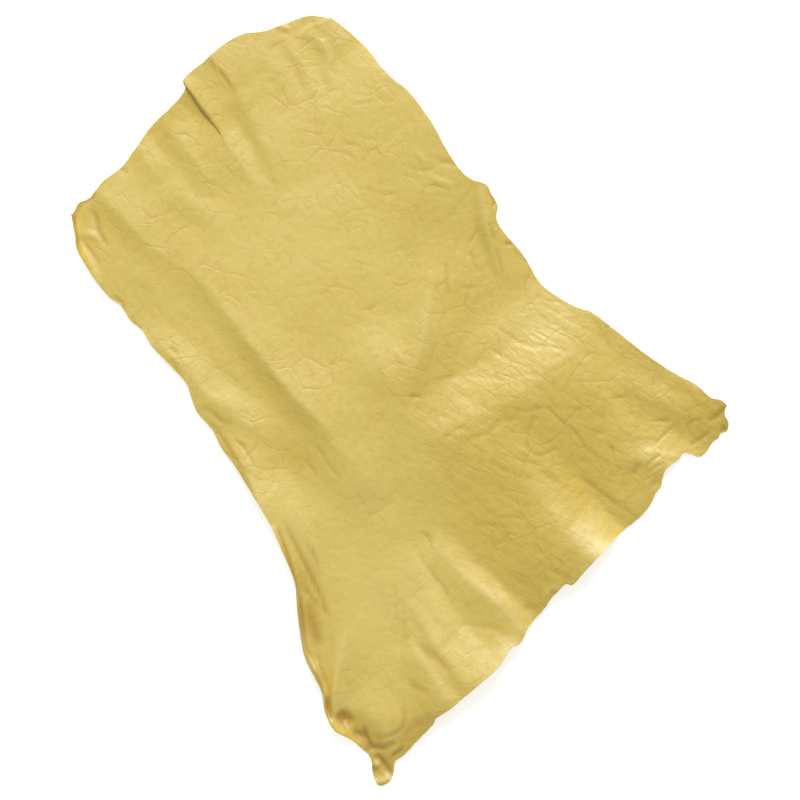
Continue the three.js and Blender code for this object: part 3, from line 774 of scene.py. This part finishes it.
def smoothed(values, times):
    """The grid's values, each evened out with its neighbours, a number of times."""
    for _ in range(times):
        wide = np.pad(values, 1, mode="edge")
        values = (4 * values + wide[2:, 1:-1] + wide[:-2, 1:-1]
                  + wide[1:-1, 2:] + wide[1:-1, :-2]) / 8
    return values


def never_below_zero(values):
    """The values, bending gently to stay above 0."""
    return 0.5 * (values + np.sqrt(values ** 2 + TABLE_SOFTNESS ** 2))


def lowest_near(values, reach):
    """The lowest value within reach, for every place of the grid."""
    wide = np.pad(values, reach, mode="edge")
    height, width = values.shape
    steps = range(2 * reach + 1)
    return np.minimum.reduce([wide[i:i + height, j:j + width] for i in steps for j in steps])


broad = smoothed(folds, FOLD_SMOOTHING) + slack
upper_level = never_below_zero(broad + detail)
lower_level = np.maximum(never_below_zero(broad) + lowest_near(detail, KEEP) - GROOVE_ROOM, 0)
lower_level = np.minimum(lower_level, upper_level)
print("skin up to", round(upper_level.max(), 1), "mm above the table")

# %% Upper and lower face
SKIN = 1.2  # thickness
THINNEST = 0.3  # where a groove is pressed down to the table


def grid_normals(points):
    """The direction in which the upper side faces, at every place of the grid."""
    along, sideways = np.gradient(points, axis=0), np.gradient(points, axis=1)
    normal = np.cross(sideways, along)
    return normal / np.maximum(np.linalg.norm(normal, axis=-1, keepdims=True), NEVER_ZERO)


upper_middle = np.stack([X, Y, SKIN / 2 + upper_level + lift], axis=-1)
lower_middle = np.stack([X, Y, SKIN / 2 + lower_level + lift], axis=-1)
upper_out = grid_normals(upper_middle) * SKIN / 2
upper = upper_middle + upper_out
lower = lower_middle - grid_normals(lower_middle) * SKIN / 2
rim_lower = upper_middle - upper_out
for side in (np.s_[0, :], np.s_[-1, :], np.s_[:, 0], np.s_[:, -1]):
    lower[side] = rim_lower[side]
lower[..., 2] = np.maximum(lower[..., 2], 0)
upper[..., 2] = np.maximum(upper[..., 2], lower[..., 2] + THINNEST)
print("upper face from", round(upper[..., 2].min(), 2), "to", round(upper[..., 2].max(), 2), "mm")

# %% Faces of the upper side and the lower side


def kept_lines(count, full):
    """Which lines the lower face keeps: the ends, one in three, and all of those in `full`."""
    return sorted({0, count - 1, *range(0, count, KEEP), *full})


pleat_start = CURL_COLUMNS + len(left_columns)
all_kept = [*range(CURL_COLUMNS + 2), *range(pleat_start, pleat_start + PLEAT_COLUMNS)]
kept_rows = kept_lines(ROW_COUNT, [])
kept_columns = kept_lines(column_total, all_kept)
index = np.arange(ROW_COUNT * column_total).reshape(X.shape)
below = index + index.size
faces = [
    (index[j, i], index[j, i + 1], index[j + 1, i + 1], index[j + 1, i])
    for j in range(ROW_COUNT - 1) for i in range(column_total - 1)
]
for j0, j1 in zip(kept_rows, kept_rows[1:]):
    for i0, i1 in zip(kept_columns, kept_columns[1:]):
        up_left = range(j0, j1) if i0 == 0 else [j0]
        top = range(i0, i1) if j1 == ROW_COUNT - 1 else [i0]
        down_right = range(j1, j0, -1) if i1 == column_total - 1 else [j1]
        bottom = range(i1, i0, -1) if j0 == 0 else [i1]
        faces.append((
            *[below[j, i0] for j in up_left], *[below[j1, i] for i in top],
            *[below[j, i1] for j in down_right], *[below[j0, i] for i in bottom],
        ))
print("faces of the two sides", len(faces))

# %% Faces of the cut edge
rim = [
    *[(0, i) for i in range(column_total)],
    *[(j, column_total - 1) for j in range(1, ROW_COUNT)],
    *[(ROW_COUNT - 1, i) for i in range(column_total - 2, -1, -1)],
    *[(j, 0) for j in range(ROW_COUNT - 2, 0, -1)],
]
for here, there in zip(rim, [*rim[1:], rim[0]]):
    faces.append((index[there], index[here], below[here], below[there]))
print("faces with the cut edge", len(faces))

# %% Mesh of the skin
used = sorted({int(corner) for face in faces for corner in face})
renumbered = np.full(index.size * 2, -1)
renumbered[used] = np.arange(len(used))
places = np.concatenate([upper.reshape(-1, 3), lower.reshape(-1, 3)])[used] * MM
mesh = bpy.data.meshes.new("chamois_skin")
corners = [[int(renumbered[corner]) for corner in face] for face in faces]
mesh.from_pydata(places.tolist(), [], corners)
mesh.validate()
mesh.shade_smooth()
cut = {int(renumbered[grid[place]]) for place in rim for grid in (index, below)}
for side in mesh.edges:
    side.use_edge_sharp = all(corner in cut for corner in side.vertices)
skin = add_object("skin", mesh)
mesh.calc_loop_triangles()
print("triangles", len(mesh.loop_triangles))

# %% [markdown]
# ## Wear, deeper tone and painted light
# A used chamois is paler where it is rubbed and deeper in colour in places. Some of the colour here
# is
# painted light: paler on crests and in some broad places as painted highlight, deeper beneath the
# pleat's edge as painted shade, and browner and darker in creases and hollows as painted shade. A
# painted picture could say where, but numbers at the vertices need no picture and stay with the mesh.
# The creases and crests are measured from the heights, and the paler and deeper places are soft
# round ones, read from the photograph.

# %% Paler and deeper places, with painted light and shade
# middle (x, y), reach, share
# Paler places: partly wear, partly painted light where the skin is brighter, as on the hind left and
# near the rump rim.
WEAR_AND_PAINTED_LIGHT = [
    ((15, 200), 160, 0.5), ((-170, -250), 180, 1.0), ((-185, 120), 90, 0.3), ((30, 20), 90, 0.3),
    ((-110, -120), 100, 0.6), ((-210, -95), 75, 0.9), ((90, -100), 90, 0.2), ((82, -350), 55, 0.9),
]
# Deeper, more saturated places; the last two paint the shade beneath the pleat's edge.
DEEP_TONE_AND_PAINTED_SHADE = [
    ((110, -220), 190, 0.9), ((10, -290), 130, 0.5), ((300, -300), 90, 1.0),
    ((-300, -385), 80, 1.0), ((-205, 360), 60, 0.9), ((-260, -190), 80, 0.6), ((140, 20), 80, 0.4),
    ((-3, 398), 36, 1.0), ((2, 355), 34, 0.9),
]


def soft_places(places):
    """1 in the middle of a place and 0 at its reach, for several places together."""
    left_over = np.ones(X.shape)
    for (x, y), reach, amount in places:
        fading = np.clip(1 - ((X - x) ** 2 + (Y - y) ** 2) / reach ** 2, 0, 1) ** 2
        left_over = left_over * (1 - amount * fading)
    return 1 - left_over


wear_and_painted_light, deep_tone_and_painted_shade = soft_places(WEAR_AND_PAINTED_LIGHT), soft_places(DEEP_TONE_AND_PAINTED_SHADE)
print("wear_and_painted_light", round(wear_and_painted_light.mean(), 2), "deep_tone_and_painted_shade", round(deep_tone_and_painted_shade.mean(), 2), "of the grid")

# %% Numbers at the vertices
HOLLOW_SMOOTHING, HOLLOW_DEPTH = 12, 0.7  # what counts as level around it, and as fully hollow
CREASE_DEPTH = 3
CREST_SMOOTHING, CREST_HEIGHT = 40, 2.0  # the same for a crest


def give_attribute(name, values):
    """Stores one number at each vertex; both faces get the same."""
    both = np.concatenate([values.ravel(), values.ravel()])[used].astype(np.float32)
    attribute = mesh.attributes.new(name, "FLOAT", "POINT")
    attribute.data.foreach_set("value", both)


# sunk below its surroundings, and the creases; the finish paints shade there, browner and darker
sunk = smoothed(detail, HOLLOW_SMOOTHING) - detail
# raised above the broad shape; the finish paints it paler, partly as worn nap and partly as painted
# highlight
raised = broad + detail - smoothed(broad + detail, CREST_SMOOTHING)
hollow = np.clip(sunk / HOLLOW_DEPTH, 0, 1) + np.clip(-creases / CREASE_DEPTH, 0, 1)
give_attribute("hollow", np.clip(hollow, 0, 1))
give_attribute("crest", np.clip(raised / CREST_HEIGHT, 0, 1))
give_attribute("hind", hind)
give_attribute("wear_and_painted_light", wear_and_painted_light)
give_attribute("deep_tone_and_painted_shade", deep_tone_and_painted_shade)
print("hollow", round(hollow.mean(), 3), "crest", round(raised.max(), 1), "mm at most")

# %% [markdown]
# ## Nodes as arithmetic
# A finish is a tree of nodes. Nodes could be added one by one, but their sums are easier to read as
# expressions. So a signal is a number that changes over the surface, and arithmetic on signals adds
# the nodes that work it out. A finish is a material and the one way in which nodes are added to it.

# %% Signal


class Signal:
    """A number that changes over the surface. Arithmetic on it adds Math nodes."""

    def __init__(self, finish, socket):
        self.finish, self.socket = finish, socket

    def maths(self, operation, *terms):
        made = self.finish.node("ShaderNodeMath", {"operation": operation}, dict(enumerate(terms)))
        return Signal(self.finish, made.outputs[0])

    def __add__(self, other):
        return self.maths("ADD", self, other)

    def __sub__(self, other):
        return self.maths("SUBTRACT", self, other)

    def __rsub__(self, other):
        return self.maths("SUBTRACT", other, self)

    def __mul__(self, other):
        return self.maths("MULTIPLY", self, other)

    def __pow__(self, power):
        return self.maths("POWER", self, power)

    __radd__ = __add__
    __rmul__ = __mul__

    def between(self, low, high):
        """0 at low and 1 at high, and no further."""
        made = self.finish.node("ShaderNodeMapRange", {"clamp": True},
                                {"Value": self, "From Min": low, "From Max": high})
        return Signal(self.finish, made.outputs[0])


# %% Finish
LINE_FADE = 1.5  # how fast a wrinkle fades beside its middle


class Finish:
    """A material and the one way in which nodes are added to it."""

    def __init__(self, name):
        self.material = bpy.data.materials.new(name)
        self.material.use_nodes = True
        self.tree = self.material.node_tree
        self.tree.nodes.clear()

    def node(self, kind, settings, inputs):
        made = self.tree.nodes.new(kind)
        for name, value in settings.items():
            setattr(made, name, value)
        for name, value in inputs.items():
            if isinstance(value, Signal):
                value = value.socket
            if isinstance(value, bpy.types.NodeSocket):
                self.tree.links.new(value, made.inputs[name])
            else:
                made.inputs[name].default_value = value
        return made

    def attribute(self, name):
        made = self.node("ShaderNodeAttribute", {"attribute_name": name}, {})
        return Signal(self, made.outputs["Fac"])

    def noise(self, place, per_metre, detail=2.0, roughness=0.5):
        inputs = {"Vector": place, "Scale": per_metre, "Detail": detail, "Roughness": roughness}
        made = self.node("ShaderNodeTexNoise", {"noise_dimensions": "3D"}, inputs)
        return Signal(self, made.outputs["Fac"])

    def bent(self, place, per_metre, reach):
        """The place, moved a little by a noise, so that straight lines through it bend."""
        inputs = {"Vector": place, "Scale": per_metre, "Detail": 1.0}
        moved = self.node("ShaderNodeTexNoise", {}, inputs)
        added = self.node("ShaderNodeVectorMath", {"operation": "MULTIPLY_ADD"},
                          {0: moved.outputs["Color"], 1: (reach, reach, 0), 2: place})
        return added.outputs["Vector"]

    def wrinkles(self, place, per_metre, half_width):
        """Lines between irregular cells, 1 in their middle; half_width is a share of a cell."""
        settings = {"voronoi_dimensions": "2D", "feature": "DISTANCE_TO_EDGE"}
        cells = self.node("ShaderNodeTexVoronoi", settings, {"Vector": place, "Scale": per_metre})
        beside = Signal(self, cells.outputs["Distance"]).between(0, half_width)
        return (1 - beside) ** LINE_FADE

    def mix(self, share, first, second):
        made = self.node("ShaderNodeMix", {"data_type": "RGBA"}, {0: share, 6: first, 7: second})
        return made.outputs[2]


# %% [markdown]
# ## Finish of the leather
# Chamois is tanned in fish oil, which dyes it straw yellow right through, and both faces are napped
# like suede. The colour is never even: it changes at random, and it is paler in worn places and
# deeper in others. Some of the colour is painted light: paler on crests and in some broad places as
# painted highlight, deeper beneath the pleat's edge as painted shade, and browner and darker in
# creases, hollows and the finest wrinkles as painted shade. A picture of leather could show this, but
# noise has no seams and no fixed size. The finest wrinkles are the lines between irregular cells, and
# the widest of them are mostly hidden in the paler places. The nap itself is far finer than a pixel,
# so it is a bump.

# %% Patterns of the leather
HIND_DIRECTION = math.radians(-68)
HIND_STRETCH = 3.5  # how far the patterns are drawn out there
WEAR_AND_LIGHT_HIDES = 0.9  # how much of the wide net is hidden in the paler places, worn or painted light

chamois = Finish("napped chamois")
place = chamois.node("ShaderNodeTexCoord", {}, {}).outputs["Object"]
hollow_signal, crest_signal = chamois.attribute("hollow"), chamois.attribute("crest")
hind_signal, wear_and_light_signal = chamois.attribute("hind"), chamois.attribute("wear_and_painted_light")
along_hind = chamois.node("ShaderNodeMapping", {"vector_type": "TEXTURE"}, {
    "Vector": place, "Rotation": (0, 0, HIND_DIRECTION), "Scale": (HIND_STRETCH, 1, 1),
}).outputs["Vector"]
blotches = chamois.noise(place, per_metre=14, detail=4, roughness=0.6)
speckle = chamois.noise(place, per_metre=160, detail=3, roughness=0.6)
streaks = chamois.noise(along_hind, per_metre=120, detail=3, roughness=0.6) * hind_signal
nap = chamois.noise(place, per_metre=900, detail=2, roughness=0.6)
creping = chamois.noise(place, per_metre=190, detail=4, roughness=0.65)
print("patterns", len(chamois.tree.nodes), "nodes")

# %% Finest wrinkles
SMALL_SHARE, DRAWN_SHARE = 0.7, 0.6  # of the strength of the wide net

wide_bent = chamois.bent(place, per_metre=22, reach=0.03)
wide_lines = chamois.wrinkles(wide_bent, per_metre=26, half_width=0.085)
wide_places = chamois.noise(place, per_metre=13).between(0.44, 0.6)
wide_net = wide_lines * wide_places * (1 - wear_and_light_signal * WEAR_AND_LIGHT_HIDES)
small_bent = chamois.bent(place, per_metre=45, reach=0.016)
small_lines = chamois.wrinkles(small_bent, per_metre=55, half_width=0.14)
small_places = chamois.noise(place, per_metre=21).between(0.46, 0.62)
small_net = small_lines * small_places
drawn_bent = chamois.bent(along_hind, per_metre=30, reach=0.02)
drawn_net = chamois.wrinkles(drawn_bent, per_metre=62, half_width=0.16) * hind_signal
wrinkled = wide_net + small_net * SMALL_SHARE + drawn_net * DRAWN_SHARE
print("with wrinkles", len(chamois.tree.nodes), "nodes")

# %% Colour of the leather
STRAW = (0.605, 0.437, 0.031, 1)
DEEP_STRAW = (0.585, 0.404, 0.017, 1)
WEAR_AND_LIGHT_STRAW = (0.680, 0.507, 0.079, 1)
DEEP_TONE_AND_SHADE_STRAW = (0.605, 0.412, 0.005, 1)
PALE = (0.670, 0.540, 0.170, 1)
# SHADE_BROWN is painted shade: hollows, creases and wrinkles are browned and darkened with it
SHADE_BROWN = (0.490, 0.298, 0.003, 1)
WEAR_AND_HIGHLIGHT_ON_CREST, PALE_IN_SPECKLE = 0.4, 0.18
SHADE_IN_WRINKLE, SHADE_IN_HOLLOW = 0.28, 0.95

colour = chamois.mix(blotches.between(0.35, 0.68), STRAW, DEEP_STRAW)
# paler in worn places, and painted light in the same mask
colour = chamois.mix(wear_and_light_signal, colour, WEAR_AND_LIGHT_STRAW)
# deeper in some places, and painted shade beneath the pleat's edge
colour = chamois.mix(chamois.attribute("deep_tone_and_painted_shade"), colour, DEEP_TONE_AND_SHADE_STRAW)
# paler on crests: partly worn nap, partly painted highlight
colour = chamois.mix(crest_signal * WEAR_AND_HIGHLIGHT_ON_CREST, colour, PALE)
colour = chamois.mix(speckle.between(0.45, 0.8) * PALE_IN_SPECKLE, colour, PALE)
# painted shade along the finest wrinkles
colour = chamois.mix(wrinkled * SHADE_IN_WRINKLE, colour, SHADE_BROWN)
# painted shade: browner and darker in hollows and creases
colour = chamois.mix(hollow_signal * SHADE_IN_HOLLOW, colour, SHADE_BROWN)
print("with colour", len(chamois.tree.nodes), "nodes")

# %% Nap and surface
NAP, CREPING, STREAKS, WRINKLES = 0.15, 0.4, 0.45, 0.21  # heights and depths, in millimetres

height_mm = nap * NAP + creping * CREPING + streaks * STREAKS - wrinkled * WRINKLES
bump = chamois.node("ShaderNodeBump", {}, {"Strength": 1.0, "Distance": MM, "Height": height_mm})
surface = chamois.node("ShaderNodeBsdfPrincipled", {}, {
    "Base Color": colour, "Roughness": 0.55, "IOR": 1.75, "Specular IOR Level": 1.0,
    "Sheen Weight": 0.05, "Sheen Roughness": 0.5, "Normal": bump.outputs["Normal"],
})
chamois.node("ShaderNodeOutputMaterial", {}, {"Surface": surface.outputs["BSDF"]})
mesh.materials.append(chamois.material)
print("finish", chamois.material.name, "of", len(chamois.tree.nodes), "nodes")

# %% [markdown]
# ## Table and light
# The table is white and keeps the soft shadow of the skin. More light would whiten it too, but
# would wash out the leather, so the table glows a little itself, only where the camera or a
# reflection sees it. A large lamp stands low beyond the top of the picture, so that every fold has
# a lit and a shaded side, and far enough away to light the skin evenly. An even, slightly warm
# surrounding fills the shade.

# %% Table
TABLE_SIZE = 60.0
TABLE_DROP = 0.0002  # just below the underside of the skin
TABLE_WHITE = (0.85, 0.85, 0.85, 1)
TABLE_GLOW = 0.58

table = Finish("white table")
white = table.node("ShaderNodeBsdfDiffuse", {}, {"Color": TABLE_WHITE})
ray = table.node("ShaderNodeLightPath", {}, {})
camera_ray = Signal(table, ray.outputs["Is Camera Ray"])
glossy_ray = Signal(table, ray.outputs["Is Glossy Ray"])
clear_ray = Signal(table, ray.outputs["Is Transmission Ray"])
seen = (camera_ray + glossy_ray + clear_ray).between(0, 1)
glow = table.node("ShaderNodeEmission", {}, {"Color": (1, 1, 1, 1), "Strength": seen * TABLE_GLOW})
both = table.node("ShaderNodeAddShader", {}, {0: white.outputs[0], 1: glow.outputs[0]})
table.node("ShaderNodeOutputMaterial", {}, {"Surface": both.outputs["Shader"]})
bpy.ops.mesh.primitive_plane_add(size=TABLE_SIZE, location=(0, 0, -TABLE_DROP))
floor = bpy.context.object
floor.name = "table"
floor.data.materials.append(table.material)
print("table", TABLE_SIZE, "m")

# %% Lamp
LIGHT_FROM = (0.62, 0.78)  # on the table, toward the lamp
LIGHT_RISE = math.radians(36)
LAMP_DISTANCE = 6.0
LAMP_SIZE = 3.6
LAMP_POWER = 373
LAMP_COLOUR = (0.98, 0.99, 1.03)

lamp = add_object("lamp", bpy.data.lights.new("lamp", "AREA"))
lamp.data.shape = "DISK"
lamp.data.size = LAMP_SIZE
lamp.data.energy = LAMP_POWER
lamp.data.color = LAMP_COLOUR
level = math.cos(LIGHT_RISE) * LAMP_DISTANCE
lamp.location = (LIGHT_FROM[0] * level, LIGHT_FROM[1] * level, math.sin(LIGHT_RISE) * LAMP_DISTANCE)
lamp.rotation_euler = lamp.location.to_track_quat("Z", "Y").to_euler()
print("lamp at", [round(value, 2) for value in lamp.location])

# %% Surroundings
SURROUND = 0.50
SURROUND_COLOUR = (1, 0.982, 0.855, 1)

world = bpy.context.scene.world or bpy.data.worlds.new("world")
bpy.context.scene.world = world
world.use_nodes = True
background = world.node_tree.nodes["Background"]
background.inputs["Color"].default_value = SURROUND_COLOUR
background.inputs["Strength"].default_value = SURROUND
bpy.context.scene.view_settings.view_transform = "Standard"
print("surroundings", SURROUND)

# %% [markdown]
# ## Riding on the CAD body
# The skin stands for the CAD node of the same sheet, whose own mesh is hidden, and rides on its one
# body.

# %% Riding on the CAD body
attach(skin, "root")
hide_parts("chamois_skin")
